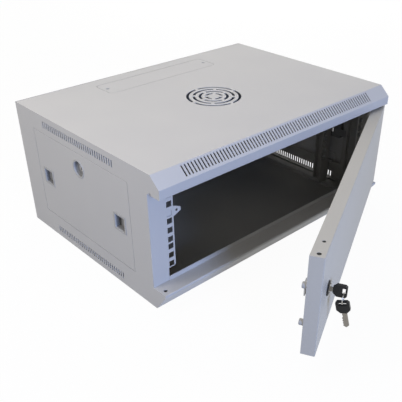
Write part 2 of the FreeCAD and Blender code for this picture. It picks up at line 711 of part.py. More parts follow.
# front post: face with the rack tab, and a leg along the side plate
postY = ("postFace", "postFace + postWall")
narrow = block(("-sideInner", "-postEdge"), postY, ("wall", "height - wall"))
leg = block(("-sideInner", "-sideInner + postWall"), ("postFace", "postFace + postReturn"),
            ("wall", "height - wall"))
tab = rounded("sideInner - railOpening/2", "tabTall", "tabCorner",
              ("-sideInner/2 - railOpening/4", postY[1], "tabBottom + tabTall/2"), "postWall", "upright")
both("front_post", cut(fuse(narrow, leg, tab), *squareHoles(("postFace - wall", "postFace + 3*wall"))))

# earth bracket welded behind the third hole from the top of the left tab
earthOutline = [
    ("-postEdge", "earthZ - earthTall/2"),
    ("-railOpening/2 + earthTip", "earthZ - earthTall/2"),
    ("-railOpening/2 + earthReach", "earthZ - earthTip"),
    ("-railOpening/2 + earthReach", "earthZ + earthTip"),
    ("-railOpening/2 + earthTip", "earthZ + earthTall/2"),
    ("-postEdge", "earthZ + earthTall/2"),
]
earthPlate = plate(earthOutline, (0, "postFace + postWall + earthWall", 0), "earthWall", "upright")
earthHole = rod("earthBore", ("-railOpening/2 + earthReach/2", "postFace", "earthZ"),
                "3*postWall + earthWall", towardsY)
node("earth_bracket", cut(earthPlate, earthHole))

# adjustable rear rail: channel section with feet that slide on the depth channels
railPath = [
    ("-railBack + railReturn", "railY + railDepth - postWall"),
    ("-railBack + postWall", "railY + railDepth - postWall"),
    ("-railBack + postWall", "railY + postWall"),
    ("-railOpening/2", "railY + postWall"),
]
foot = block(("-railBack - footReach", "-railBack + postWall"), around("railY + railDepth/2", "footLength/2"),
             ("footLow", "footLow + postWall"))
foot = cut(foot, block(around("-boltX", "boltNeck/2 + boltPlay"), around("boltY", "boltNeck/2 + boltPlay"),
                       (0, "2*channelTall")))
section = folded(railPath, "postWall", "height - 2*footLow", "flat", overHalf, sharp=True)
both("rear_rail", cut(fuse(section, foot, twin(foot, (0, 0, 1), overHalf)),
                      *squareHoles(("railY - wall", "railY + 3*wall"))))

# bolts with a square neck through rail foot and channel slot, and their nuts inside the channel
nutTop = "wall + channelTall - postWall - railGap"
bolt = fuse(prism(6, "boltFlats", ("-boltX", "boltY", "footLow + postWall"), "boltHeadTall"),
            block(around("-boltX", "boltNeck/2"), around("boltY", "boltNeck/2"),
                  ("wall + railGap", "footLow + postWall")),
            prism(6, "boltFlats", ("-boltX", "boltY", nutTop + " - boltNutTall"), "boltNutTall"))
both("rail_bolts", group(bolt, twin(bolt, (0, 0, 1), overHalf)))

# depth channels on the floor and under the top, with the slot that the rail bolts run in
channelPath = [
    ("-channelInner - postWall", "wall"),
    ("-channelInner - postWall", "wall + channelTall - postWall"),
    ("-sideInner + postWall", "wall + channelTall - postWall"),
    ("-sideInner + postWall", "wall"),
]
channel = cut(
    folded(channelPath, "postWall", "depth - channelStart - channelBack", "upright",
           (0, "(channelStart - channelBack)/2", 0), sharp=True),
    block(around("-boltX", "channelSlot/2"), ("-depth/2 + channelSlotStart", "depth/2 - channelSlotBack"),
          ("2*wall", "2*channelTall")))
both("lower_depth_channel", channel)
both("upper_depth_channel", twin(channel, (0, 0, 1), overHalf))


# the door and what hangs on it, drawn closed and turned about the hinge axis
def hung(name, *shapes):
    piece = group(*shapes)
    piece.Placement = Placement(Vector(), Rotation(Vector(0, 0, 1), 10))
    bind(piece, Placement_Rotation_Angle="doorAngle*1deg",
         Placement_Base_x="hingeX - hingeX*cos(doorAngle*1deg) + hingeY*sin(doorAngle*1deg)",
         Placement_Base_y="hingeY - hingeX*sin(doorAngle*1deg) - hingeY*cos(doorAngle*1deg)")
    return node(name, piece)


def doorBlock(y, inset):
    return block(around(0, "doorEnd - " + inset), y, ("doorLow + " + inset, "doorHigh - " + inset))


def doorPan():
    # pad with rounded outer edges; it is hollowed from behind
    body = doc.addObject("PartDesign::Body", "doorPan")
    sketch = outline(corners(around(0, "doorEnd"), ("doorLow", "doorHigh")), body=body)
    sketch.AttachmentSupport = [(origin(body, "XZ_Plane"), "")]
    sketch.MapMode = "FlatFace"
    bind(sketch, AttachmentOffset_Base_z="depth/2 - doorSetback")
    pad = body.newObject("PartDesign::Pad", "sheet")
    pad.Profile = sketch
    pad.Reversed = True
    bind(pad, Length="doorThickness")
    doc.recompute()
    face = min(vertex.Y for vertex in pad.Shape.Vertexes)
    front = ["Edge%d" % number for number, edge in enumerate(pad.Shape.Edges, 1)
             if all(abs(vertex.Y - face) < 0.01 for vertex in edge.Vertexes)]
    bend = body.newObject("PartDesign::Fillet", "bend")
    bend.Base = (pad, front)
    bind(bend, Radius="doorEdge")
    body.Tip = bend
    return body


def smallHole(diameter, x, low, span):
    # hole along Z in line with the hinge pins, with a dozen flats
    return prism(sizes["holeSides"][0], diameter, (x, "hingeY", low), span)


# door panel: the folded lip stays around the opening; the free end has the holes for hanging it there
barrelHole = prism(8, "barrelFlats + 2*fitPlay", ("lockX", "doorOuter - wall", "doorMiddle"), "doorThickness",
                   towardsY)
doorHoles = [smallHole("pinDiameter + 2*pinFit", "hingeX", "doorLow - wall", "height"),
             smallHole("pinDiameter + 2*pinFit", "-hingeX", "doorHigh - 3*wall", "4*wall"),
             smallHole("spareHole", "-hingeX + spareHolePitch", "doorHigh - 3*wall", "4*wall")]
hung("door_panel", cut(doorPan(), doorBlock(("doorOuter + wall", "doorRim - wall"), "wall"),
                       doorBlock(("doorOuter + wall", "doorRim + wall"), "doorLip"), *doorHoles, barrelHole))

# rubber buffers on the lip at the free edge
hung("door_buffers", *[rod("bufferDiameter", ("-doorEnd + bufferInset", "doorRim", z),
                           "postFace - bufferStop - doorRim", towardsY)
                       for z in around("doorMiddle", "bufferSpacing/2")])

# hinge brackets inside the door: two ears for the sprung pin above, a welded pin with its shoulder below
webX = "doorEnd - wall - earWall"
tipX = "doorEnd - wall - bracketWidth"
earHigh = "earLow + earSpan - earWall"
lowerEar = "doorLow + wall + earWall"
upperPath = [(tipX, "earLow + earWall"), (webX, "earLow + earWall"), (webX, earHigh), (tipX, earHigh)]
lowerPath = [(tipX, lowerEar), (webX, lowerEar), (webX, "doorLow + wall + lowerEarSpan")]
upperBracket, lowerBracket = [folded(path, "earWall", "bracketDepth", "upright", (0, "hingeY", 0), sharp=True)
                              for path in (upperPath, lowerPath)]
lowerPin = rod("pinDiameter", ("hingeX", "hingeY", "ledgeHeight - pinReach"),
               "doorLow + wall + earWall/2 - ledgeHeight + pinReach")
shoulder = prism(6, "shoulderFlats", ("hingeX", "hingeY", "ledgeHeight + shoulderGap"),
                 "doorGap - shoulderGap")
earHoles = smallHole("pinDiameter + 2*pinFit", "hingeX", "earLow - wall", "earSpan + 2*wall")
hung("hinge_brackets", cut(upperBracket, earHoles), fuse(lowerBracket, lowerPin, shoulder))

# upper hinge pin: sprung, with a collar under the upper ear and a bent grip
hung("upper_hinge_pin", fuse(
    rod("pinDiameter", ("hingeX", "hingeY", "pinLow"), "pinTop - pinLow"),
    prism(6, "pinCollar", ("hingeX", "hingeY", "collarLow"), "pinCollarTall"),
    prism(6, "pinGrip", ("hingeX - pinGripLength", "hingeY", "pinLow + pinGrip"), "pinGripLength", towardsX)))

# spring between the lower ear and the collar, swept through sections of its wire
turnSteps = sizes["springSteps"][0]
allSteps = sizes["springTurns"][0]*turnSteps
wires = []
for number in range(allSteps + 1):
    wire = doc.addObject("Part::RegularPolygon", "wire")
    wire.Polygon = 4
    bind(wire, Circumradius="springWire/2")
    turned = "%d*360deg/springSteps" % number
    station = ("hingeX + springRadius*cos(%s)" % turned, "hingeY + springRadius*sin(%s)" % turned,
               "springLow + springRise*%d/%d" % (number, allSteps))
    aside = Rotation(Vector(0, 0, 1), 360*number/turnSteps)
    wires.append(put(wire, station, aside*upright))
spring = doc.addObject("Part::Loft", "spring")
spring.Sections = wires
spring.Solid = True
spring.Ruled = True
hung("upper_hinge_spring", spring)


# door lock: round head on an eight-sided barrel, push-on clip, turning core and cam
def lockBar(diameter, low, high):
    return rod(diameter, ("lockX", low, "doorMiddle"), "(%s) - (%s)" % (high, low), towardsY)


def keyholeBlock(y, wide, tall):
    return block(around("lockX", wide + "/2"), y, around("doorMiddle", tall + "/2"))


barrel = prism(8, "barrelFlats", ("lockX", "headY", "doorMiddle"), "barrelBack - headY", towardsY)
hung("door_lock_body", cut(fuse(lockBar("lockFlange", "headY", "doorOuter"), barrel),
                           lockBar("coreDiameter + 2*coreFit", "headY - wall", "postFace")))
clipY = ("doorOuter + wall", "doorOuter + wall + clipWall")
hung("door_lock_clip", cut(keyholeBlock(clipY, "lockClip", "lockClip"), barrelHole))
keyway = keyholeBlock(("headY - wall", "headY + keyDepth + keyPlay"), "(keyWall + 2*keyPlay)",
                      "(keyBlade + 2*keyPlay)")
stub = keyholeBlock(("strikeY", "camEnd"), "coreStub", "coreStub")
hung("door_lock_core", cut(fuse(lockBar("coreDiameter", "headY", "strikeY"), stub), keyway))
hung("door_lock_cam", cut(camPlate("-camReach", ("lockX", "camEnd", "doorMiddle"), "upright"),
                          keyholeBlock(("doorOuter", "camEnd + wall"), "coreStub", "coreStub")))


# key, drawn with the middle of its ring slot at the origin and its blade along Y
def keyBlade():
    points = [("bladeFrom", "-keyBlade/2"), ("bladeTo - keyTip", "-keyBlade/2"), ("bladeTo", 0)]
    for tooth in range(sizes["keyTeeth"][0]):
        points += [("bladeTo - keyTip - %d*keyTooth" % tooth, "keyBlade/2"),
                   ("bladeTo - keyTip - (%d + 1/2)*keyTooth" % tooth, "keyBlade/2 - keyCut")]
    return plate(points + [("bladeFrom", "keyBlade/2")], ("-keyWall/2", 0, 0), "keyWall", "sideways")


def keyBow():
    # flat head with clipped corners and shoulders, a ring slot and the root of the blade
    far = "bowLength - slotInset"
    half = [("-slotInset", "bowTall/2 - bowCorner"), ("bowCorner - slotInset", "bowTall/2"),
            (far + " - bowShoulder", "bowTall/2"), (far, "bowTall/2 - bowShoulder")]
    other = [(along, "-(%s)" % across) for along, across in reversed(half)]
    head = plate(half + other, ("-bowWall/2", 0, 0), "bowWall", "sideways")
    slot = block(around(0, "bowWall"), around(0, "slotWide/2"), around(0, "slotTall/2"))
    return cut(head, slot, block(around(0, "keyWall/2"), ("bladeFrom", "bowLength"), around(0, "keyBlade/2")))


for make, name in ((keyBlade, "blade"), (keyBow, "bow")):
    hung("key_" + name, put(make(), ("lockX", "keyY", "doorMiddle")))
    low = ("lockX", "keyY - spareDrop*sin(spareTilt*1deg)", "spareZ - spareDrop*cos(spareTilt*1deg)")
    spare = put(make(), low, Rotation(Vector(-1, 0, 0), 100))
    hung("spare_key_" + name, bind(spare, Placement_Rotation_Angle="90deg + spareTilt*1deg"))
ringAt = ("lockX", "keyY + ringWire/2", "ringZ")
hung("key_ring", cut(prism(sizes["ringSides"][0], "2*ringRadius + ringWire", ringAt, "ringWire", upright),
                     prism(sizes["ringSides"][0], "2*ringRadius - ringWire", ringAt, "ringWire", upright)))

# every object has to be sound, and every pocket has to remove sheet
doc.recompute()
for item in doc.Objects:
    if "Invalid" in item.State or "Error" in item.State:
        raise RuntimeError("failed object: %s %s" % (item.Name, item.State))
for pocket in pockets:
    if pocket.Shape.Volume > pocket.BaseFeature.Shape.Volume - 1:
        raise RuntimeError("pocket removes nothing: %s" % pocket.Name)
for piece in nodes:
    if piece.Shape.isNull() or not piece.Shape.isValid() or not piece.Shape.Solids:
        raise RuntimeError("no sound solid: %s" % piece.Label)
os.makedirs("parts", exist_ok=True)
for piece in nodes:
    piece.Shape.exportStep("parts/%s.step" % piece.Label)
print(len(nodes), "nodes")
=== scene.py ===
import json
import math

import bmesh
import bpy
from mathutils import Matrix, Vector


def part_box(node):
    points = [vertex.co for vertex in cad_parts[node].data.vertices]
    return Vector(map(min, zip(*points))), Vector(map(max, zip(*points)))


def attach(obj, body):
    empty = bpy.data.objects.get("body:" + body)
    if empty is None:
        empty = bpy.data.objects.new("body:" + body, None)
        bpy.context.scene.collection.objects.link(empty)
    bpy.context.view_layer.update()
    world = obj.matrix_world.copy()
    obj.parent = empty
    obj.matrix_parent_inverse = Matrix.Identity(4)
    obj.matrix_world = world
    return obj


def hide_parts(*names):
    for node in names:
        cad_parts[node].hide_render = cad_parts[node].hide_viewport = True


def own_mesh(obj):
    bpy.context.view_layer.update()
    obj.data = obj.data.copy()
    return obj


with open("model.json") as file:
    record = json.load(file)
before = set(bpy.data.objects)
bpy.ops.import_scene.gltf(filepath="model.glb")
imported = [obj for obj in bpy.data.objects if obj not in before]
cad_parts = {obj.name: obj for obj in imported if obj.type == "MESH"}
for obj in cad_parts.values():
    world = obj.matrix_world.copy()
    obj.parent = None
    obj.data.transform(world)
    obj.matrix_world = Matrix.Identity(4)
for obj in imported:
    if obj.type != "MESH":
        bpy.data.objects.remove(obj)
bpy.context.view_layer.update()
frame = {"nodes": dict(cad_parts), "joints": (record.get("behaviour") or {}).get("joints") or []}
nodes = frame["nodes"]
joints = {joint["name"]: joint for joint in frame["joints"]}
print("frame loaded:", len(nodes), "nodes")

# camera: in front of the left corner, looking down at the open door
camera = {
    "place": (-0.70022, -0.78527, 0.61041),
    "turn": -43.53,             # degrees about the upright
    "tilt": 57.25,              # degrees up from straight down
    "roll": 0.25,
    "lens": 54.54,
    "sensor": 36.0,
    "shift": (-0.0632, 0.0854),
    "clip": (0.05, 50),
}


def makeCamera():
    data = bpy.data.cameras.new("cabinetCamera")
    data.sensor_width = camera["sensor"]
    data.lens = camera["lens"]
    data.shift_x, data.shift_y = camera["shift"]
    data.clip_start, data.clip_end = camera["clip"]
    eye = bpy.data.objects.new("cabinetCamera", data)
    bpy.context.scene.collection.objects.link(eye)
    turn = Matrix.Rotation(math.radians(camera["turn"]), 4, "Z")
    tilt = Matrix.Rotation(math.radians(camera["tilt"]), 4, "X")
    roll = Matrix.Rotation(math.radians(camera["roll"]), 4, "Z")
    eye.matrix_world = Matrix.Translation(camera["place"]) @ turn @ tilt @ roll
    bpy.context.scene.camera = eye


makeCamera()


# materials
def linear(hexText):
    # sRGB hex to linear, opaque
    channels = []
    for at in (1, 3, 5):
        value = int(hexText[at:at + 2], 16)/255
        channels.append(value/12.92 if value <= 0.04045 else ((value + 0.055)/1.055)**2.4)
    return (*channels, 1.0)


def addNode(tree, kind, settings=None, links=None):
    # settings go to properties or input values, links to input sockets
    made = tree.nodes.new(kind)
    for key, value in (settings or {}).items():
        if isinstance(key, int) or key in made.inputs:
            made.inputs[key].default_value = value
        else:
            setattr(made, key, value)
    for key, source in (links or {}).items():
        tree.links.new(source, made.inputs[key])
    return made


def newMaterial(name, settings):
    material = bpy.data.materials.new(name)
    material.use_nodes = True
    tree = material.node_tree
    surface = tree.nodes["Principled BSDF"]
    for key, value in settings.items():
        surface.inputs[key].default_value = value
    return material, tree, surface


def insideBox(tree, place, limits):
    # 1 between the two limits of every axis named, 0 elsewhere
    axes = addNode(tree, "ShaderNodeSeparateXYZ", None, {"Vector": place}).outputs
    share = None
    for axis, (low, high) in limits.items():
        for operation, limit in (("GREATER_THAN", low), ("LESS_THAN", high)):
            test = addNode(tree, "ShaderNodeMath", {"operation": operation, 1: limit}, {0: axes[axis]})
            both = addNode(tree, "ShaderNodeMath", {"operation": "MULTIPLY", 1: 1.0}, {0: test.outputs[0]})
            if share is not None:
                tree.links.new(share, both.inputs[1])
            share = both.outputs[0]
    return share


relief = {"strength": 0.3, "height": 0.00005}   # of baked peel and moulded grain, height in metres
polymerIor = 1.5


def raiseGrain(tree, surface, pattern):
    bump = addNode(tree, "ShaderNodeBump", {"Strength": relief["strength"], "Distance": relief["height"]},
                   {"Height": pattern})
    tree.links.new(bump.outputs["Normal"], surface.inputs["Normal"])


sideLow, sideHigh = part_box("left_side_frame")
halfWidth = abs(sideLow[0])
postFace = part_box("left_front_post")[0][1]
powder = {
    "shell": ("#BDBDBB", "#B6B6B6"),    # light grey, and the faint drift of the baked coat
    # painted shade: the shell's coat drawn darker and warmer on the door, for how the light falls on it
    "door": ("#B1AFA8", "#ABA9A2"),
    "inside": ("#A3A39F", "#9B9B98"),   # painted shade: the same coat drawn darker inside the shell, where shade falls
    "rough": 0.46,
    "peel": 0.9,                # mm, orange peel of the baked powder
    "clouds": 9.0,              # per metre: the drift is about 110 mm wide
    "sheet": 0.0008,            # metres of the sheet's thickness that keep the unshaded colour
    "postFront": 0.0014,        # metres behind the face of the posts, where the painted shade inside begins
}
paintedShadeInside = {
    "X": (powder["sheet"] - halfWidth, halfWidth - powder["sheet"]),
    "Y": (postFace + powder["postFront"], sideHigh[1] - powder["sheet"]),
    "Z": (sideLow[2] + powder["sheet"], sideHigh[2] - powder["sheet"]),
}


def powderCoat(name, *coats):
    # polyester powder baked on sheet steel: even satin with a fine orange peel
    # coats: the outside and, where it differs, the painted shade inside; each is a colour and its drift
    material, tree, surface = newMaterial(name, {"Roughness": powder["rough"], "IOR": polymerIor})
    place = addNode(tree, "ShaderNodeTexCoord").outputs["Object"]
    peel = addNode(tree, "ShaderNodeTexNoise",
                   {"Scale": 1000/powder["peel"], "Detail": 3.0, "Roughness": 0.6}, {"Vector": place})
    drift = addNode(tree, "ShaderNodeTexNoise",
                    {"Scale": powder["clouds"], "Detail": 2.0}, {"Vector": place})
    shades = [addNode(tree, "ShaderNodeMix", {"data_type": "RGBA", "A": linear(plain), "B": linear(cloud)},
                      {"Factor": drift.outputs["Fac"]}) for plain, cloud in coats]
    colour = shades[0]
    # painted shade: inside the shell's box the second, darker colour is used
    if len(shades) > 1:
        colour = addNode(tree, "ShaderNodeMix", {"data_type": "RGBA"},
                         {"Factor": insideBox(tree, place, paintedShadeInside),
                          "A": shades[0].outputs["Result"], "B": shades[1].outputs["Result"]})
    tree.links.new(colour.outputs["Result"], surface.inputs["Base Color"])
    raiseGrain(tree, surface, peel.outputs["Fac"])
    return material


plating = {
    "marks": 900.0,             # per metre: tumbling marks a little over a millimetre apart
    "spread": (-0.08, 0.12),    # roughness of the marks against the rest
}


def platedMetal(name, bright, dull, rough):
    # nickel or zinc on steel: satin, with fine marks from tumbling
    material, tree, surface = newMaterial(name, {"Metallic": 1.0, "Roughness": rough})
    place = addNode(tree, "ShaderNodeTexCoord").outputs["Object"]
    marks = addNode(tree, "ShaderNodeTexNoise",
                    {"Scale": plating["marks"], "Detail": 4.0}, {"Vector": place})
    colour = addNode(tree, "ShaderNodeMix", {"data_type": "RGBA", "A": linear(bright), "B": linear(dull)},
                     {"Factor": marks.outputs["Fac"]})
    tree.links.new(colour.outputs["Result"], surface.inputs["Base Color"])
    least, most = plating["spread"]
    spread = addNode(tree, "ShaderNodeMapRange", {"To Min": rough + least, "To Max": rough + most},
                     {"Value": marks.outputs["Fac"]})
    tree.links.new(spread.outputs["Result"], surface.inputs["Roughness"])
    return material


pocketDepth = 0.0016            # metres in from the sides, from where the locks and latches get painted shade
shadedPockets = {"X": (pocketDepth - halfWidth, halfWidth - pocketDepth)}


def moulded(name, face, pit, rough, grain, shine=0.5, sunk=None):
    # injection moulded ABS or rubber: spark-eroded grain of about grain millimetres
    # sunk: painted shade, the darker colour inside the pockets
    material, tree, surface = newMaterial(name, {"Roughness": rough, "IOR": polymerIor,
                                                 "Specular IOR Level": shine})
    place = addNode(tree, "ShaderNodeTexCoord").outputs["Object"]
    pits = addNode(tree, "ShaderNodeTexNoise",
                   {"Scale": 1000/grain, "Detail": 2.0}, {"Vector": place})
    colour = addNode(tree, "ShaderNodeMix", {"data_type": "RGBA", "A": linear(face), "B": linear(pit)},
                     {"Factor": pits.outputs["Fac"]})
    # painted shade in the pockets of the locks and latches
    if sunk:
        colour = addNode(tree, "ShaderNodeMix", {"data_type": "RGBA", "B": linear(sunk)},
                         {"Factor": insideBox(tree, place, shadedPockets), "A": colour.outputs["Result"]})
    tree.links.new(colour.outputs["Result"], surface.inputs["Base Color"])
    raiseGrain(tree, surface, pits.outputs["Fac"])
    return material


# finishes, and how each looks beside the others
coatShell = powderCoat("powder coat on the shell", powder["shell"], powder["inside"])   # painted shade within
coatPlain = powderCoat("powder coat on small parts", powder["shell"])                   # pale all over
shadedDoorCoat = powderCoat("powder coat on the door", powder["door"])                        # painted shade: darker and warmer than the shell's same coat
nickelPlate = platedMetal("nickel plate", "#CECBC4", "#A8A59E", rough=0.3)              # bright and warm
wornNickel = platedMetal("worn nickel plate", "#98948D", "#6D6A65", rough=0.28)         # rubbed dark
zincPlate = platedMetal("zinc plate", "#BCBDC0", "#8D8F94", rough=0.36)                 # cooler, duller
springSteel = platedMetal("spring steel", "#9A9A98", "#6C6C6B", rough=0.33)             # plain and darker
# deep black with a low sheen, satin grey, and a quite matt pale grey
blackPlastic = moulded("black ABS", "#0A0A0B", "#101011", rough=0.34, grain=0.5, shine=0.3)
# its pockets get painted shade
greyPlastic = moulded("light grey ABS", "#A9AAA9", "#A2A3A3", rough=0.5, grain=0.6, sunk="#808182")
paleRubber = moulded("light grey rubber", "#A8A9A9", "#9C9D9D", rough=0.75, grain=0.8)
print("materials made")

# pieces: each mesh is in the cabinet's own place, in metres
meshing = {
    "merge": 0.000002,          # metres, doubled points
    "weld": 0.000004,           # metres, loose corners of a solid
    "flat": 0.4,                # degrees, up to which neighbouring faces are one flat
    "crease": 32,               # degrees, from which an edge shows as sharp
    "corner": 38,               # degrees, from which an edge gets its round
}


def finishMesh(mesh, name, finish, body, stands=(), soften=0.0, steps=2):
    # a finished piece: sound normals, smooth rounds, an optional small round on its edges
    bmesh.ops.remove_doubles(mesh, verts=mesh.verts, dist=meshing["merge"])
    bmesh.ops.recalc_face_normals(mesh, faces=mesh.faces)
    data = bpy.data.meshes.new(name)
    mesh.to_mesh(data)
    mesh.free()
    data.materials.append(finish)
    data.shade_smooth()
    data.set_sharp_from_angle(angle=math.radians(meshing["crease"]))
    piece = bpy.data.objects.new(name, data)
    bpy.context.scene.collection.objects.link(piece)
    if soften:
        edge = piece.modifiers.new("softened edge", "BEVEL")
        edge.width = soften
        edge.segments = steps
        edge.limit_method = "ANGLE"
        edge.angle_limit = math.radians(meshing["corner"])
        edge.harden_normals = True
    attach(piece, body)
    if stands:
        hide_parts(*stands)
    return piece


def softened(name, finish, body, width, steps=2):
    # a copy of the solid with its flats joined and a small round on its sharp edges
    mesh = bmesh.new()
    mesh.from_mesh(nodes[name].data)
    bmesh.ops.remove_doubles(mesh, verts=mesh.verts, dist=meshing["weld"])
    bmesh.ops.dissolve_limit(mesh, angle_limit=math.radians(meshing["flat"]), verts=mesh.verts,
                             edges=mesh.edges)
    return finishMesh(mesh, name + "_softened", finish, body, (name,), width, steps)


def lathed(points, steps):
    # closed outline of (radius, height) turned about Z; points on the axis are joined
    mesh = bmesh.new()
    corners = [mesh.verts.new((radius, 0, height)) for radius, height in points]
    edges = [mesh.edges.new((a, b)) for a, b in zip(corners, corners[1:] + corners[:1])
             if a.co.x > 0 or b.co.x > 0]
    bmesh.ops.spin(mesh, geom=corners + edges, cent=(0, 0, 0), axis=(0, 0, 1), dvec=(0, 0, 0),
                   angle=2*math.pi, steps=steps, use_merge=True, use_duplicate=False)
    bmesh.ops.remove_doubles(mesh, verts=mesh.verts, dist=meshing["merge"])
    return mesh


def joined(meshes):
    # several meshes as one
    whole = bmesh.new()
    for mesh in meshes:
        data = bpy.data.meshes.new("part")
        mesh.to_mesh(data)
        mesh.free()
        whole.from_mesh(data)
        bpy.data.meshes.remove(data)
    return whole


def placed(mesh, *matrices):
    # the matrices are applied from the last to the first
    for matrix in reversed(matrices):
        bmesh.ops.transform(mesh, matrix=matrix, verts=mesh.verts)
    return mesh


def flipped(mesh):
    # mirror image across the middle of the cabinet
    image = mesh.copy()
    bmesh.ops.transform(image, matrix=Matrix.Scale(-1, 4, (1, 0, 0)), verts=image.verts)
    bmesh.ops.reverse_faces(image, faces=image.faces)
    return image


def moved(x, y, z):
    return Matrix.Translation((x, y, z))


def turned(degrees, axis):
    return Matrix.Rotation(math.radians(degrees), 4, axis)


# rounds left on cut and folded edges, metres
rounds = {
    "door": 0.00045,
    "part": 0.0003,
    "lockCore": 0.0002,
    "pin": 0.0004,
    "sidePanel": 0.0007,
    "keyBow": 0.0009,
    "keyBlade": 0.00015,
    "coverPlate": 0.00025,
}

# door: softened folds, rubber buffers with domed ends
hingeJoint = joints["door_hinge"]
door = {
    "hinge": hingeJoint["pos_m"][:2],
    "middle": hingeJoint["pos_m"][2],
    "open": -hingeJoint["range_deg"][0],        # degrees, as it stands at rest
    "face": -0.1985,            # outer face of the closed door
    "rim": -0.1785,             # its inner rim
    "top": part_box("door_panel")[1][2],
}
hingeAt = moved(*door["hinge"], 0)
doorOpen = hingeAt @ turned(door["open"], "Z") @ hingeAt.inverted()
softened("door_panel", shadedDoorCoat, "door", rounds["door"])
softened("hinge_brackets", coatPlain, "door", rounds["part"])

buffers = {
    "x": -0.2625,
    "spacing": 0.06,
    "radius": 0.0045,
    "tall": 0.0065,
    "dome": 0.0012,
    "shoulder": 0.3,            # share of the dome, at the middle of its rounded corner
    "dimple": (0.25, 0.35),     # inner and outer radius, as shares of the buffer's
    "dimpleDepth": 0.0008,
    "steps": 48,
}


def bufferMesh(z):
    # domed cap with a shallow dimple, its axis along Y
    radius, tall, dome = buffers["radius"], buffers["tall"], buffers["dome"]
    cut = buffers["shoulder"]*dome
    inner, outer = [share*radius for share in buffers["dimple"]]
    floor = tall - buffers["dimpleDepth"]
    outline = [(0, 0), (radius, 0), (radius, tall - dome), (radius - cut, tall - cut),
               (radius - dome, tall), (outer, tall), (inner, floor), (0, floor)]
    return placed(lathed(outline, buffers["steps"]), doorOpen, moved(buffers["x"], door["rim"], z),
                  turned(-90, "X"))


finishMesh(joined([bufferMesh(door["middle"] + side*buffers["spacing"]/2) for side in (-1, 1)]),
           "domed_buffers", paleRubber, "door", ("door_buffers",))
print("door made")

# door lock: turned head with a dark cap ring, threaded barrel, nickel core with its keyway
lock = {
    "x": -0.219,
    "bore": 0.0056,
    "tall": 0.0024,             # the ring in front of the door
    "face": 0.0078,             # radius of the sunk face inside the ring
    "recess": 0.0005,
    "crown": (0.0083, 0.0093),
    "brow": (0.0103, 0.8),      # radius, and share of the height
    "skirt": (0.011, 0.35),
    "grip": 0.0012,             # behind the face, where the thread begins
    "barrel": 0.0089,
    "root": 0.0083,
    "pitch": 0.0015,
    "thread": (0.2, 0.55, 0.9),     # where it is high, deep and high again, as shares of the pitch
    "end": -0.1725,
    "steps": 72,
}
lockAt = doorOpen @ moved(lock["x"], door["face"], door["middle"]) @ turned(-90, "X")


def lockHead():
    # ring with a rounded brow, sunk face and the barrel with its thread turned behind it
    tall, pitch = lock["tall"], lock["pitch"]
    face = -tall + lock["recess"]
    back = lock["end"] - door["face"]
    outline = [(lock["bore"], face), (lock["face"], face)]
    outline += [(radius, -tall) for radius in lock["crown"]]
    outline += [(radius, -share*tall) for radius, share in (lock["brow"], lock["skirt"])]
    outline += [(lock["skirt"][0], 0)]
    flanks = (lock["barrel"], lock["root"], lock["barrel"])
    height = lock["grip"]
    while height < back - pitch:
        outline += [(radius, height + share*pitch) for radius, share in zip(flanks, lock["thread"])]
        height += pitch
    outline += [(lock["barrel"], back), (lock["bore"], back)]
    return placed(lathed(outline, lock["steps"]), lockAt)


finishMesh(lockHead(), "lock_head", blackPlastic, "door", ("door_lock_body",))
softened("door_lock_clip", zincPlate, "door", rounds["part"])
softened("door_lock_core", nickelPlate, "lock_core", rounds["lockCore"])
softened("door_lock_cam", zincPlate, "lock_core", rounds["part"])


def crossHead(screw, sides=40):
    # screw head whose top lies at z = 0: a cross sunk in a disc, and the rim drawn down
    mesh = bmesh.new()
    half, reach = screw["cross"], screw["reach"]
    bmesh.ops.create_circle(mesh, cap_ends=False, radius=screw["radius"], segments=sides)
    rim = list(mesh.edges)
    arms = []
    for quarter in range(4):
        around = turned(90*quarter, "Z")
        arms += [mesh.verts.new(around @ Vector(corner)) for corner in
                 ((reach, -half, 0), (reach, half, 0), (half, half, 0))]
    for first, second in zip(arms, arms[1:] + arms[:1]):
        mesh.edges.new((first, second))
    bmesh.ops.triangle_fill(mesh, use_beauty=True, edges=mesh.edges[:])
    recess = [edge for edge in mesh.edges if edge.is_boundary and edge not in rim]
    for edges, drop in ((recess, screw["sunk"]), (rim, screw["tall"])):
        walls = bmesh.ops.extrude_edge_only(mesh, edges=edges)["geom"]
        feet = [item for item in walls if isinstance(item, bmesh.types.BMVert)]
        bmesh.ops.translate(mesh, vec=(0, 0, -drop), verts=feet)
        loop = [item for item in walls if isinstance(item, bmesh.types.BMEdge) and item.is_boundary]
        bmesh.ops.holes_fill(mesh, edges=loop, sides=0)
    return mesh


# pan screw that holds the cam on the core
camScrew = {
    "radius": 0.003,
    "tall": 0.0016,
    "cross": 0.0004,            # half the width of an arm of the cross
    "reach": 0.0018,            # from the middle to the end of an arm
    "sunk": 0.0007,
    "back": 0.0288,             # behind the face of the door
}
finishMesh(placed(crossHead(camScrew), lockAt, moved(0, 0, camScrew["back"])), "cam_screw", zincPlate,
           "lock_core", soften=rounds["part"])

# black discs sunk in the door's spare pin holes at the free end: painted shade, dark where one looks into
# the holes
holeShade = {
    "holes": ((-door["hinge"][0], 0.003), (-0.2324, 0.00242)),      # x and radius
    "low": 0.0011,              # below the door's top
    "high": 0.0003,
    "steps": 32,
}


def holeShadeMesh(x, radius):
    low, high = door["top"] - holeShade["low"], door["top"] - holeShade["high"]
    outline = [(0, low), (radius, low), (radius, high), (0, high)]
    return placed(lathed(outline, holeShade["steps"]), doorOpen, moved(x, door["hinge"][1], 0))


finishMesh(joined([holeShadeMesh(*hole) for hole in holeShade["holes"]]), "hole_shade_discs", blackPlastic, "door")
print("door lock made")

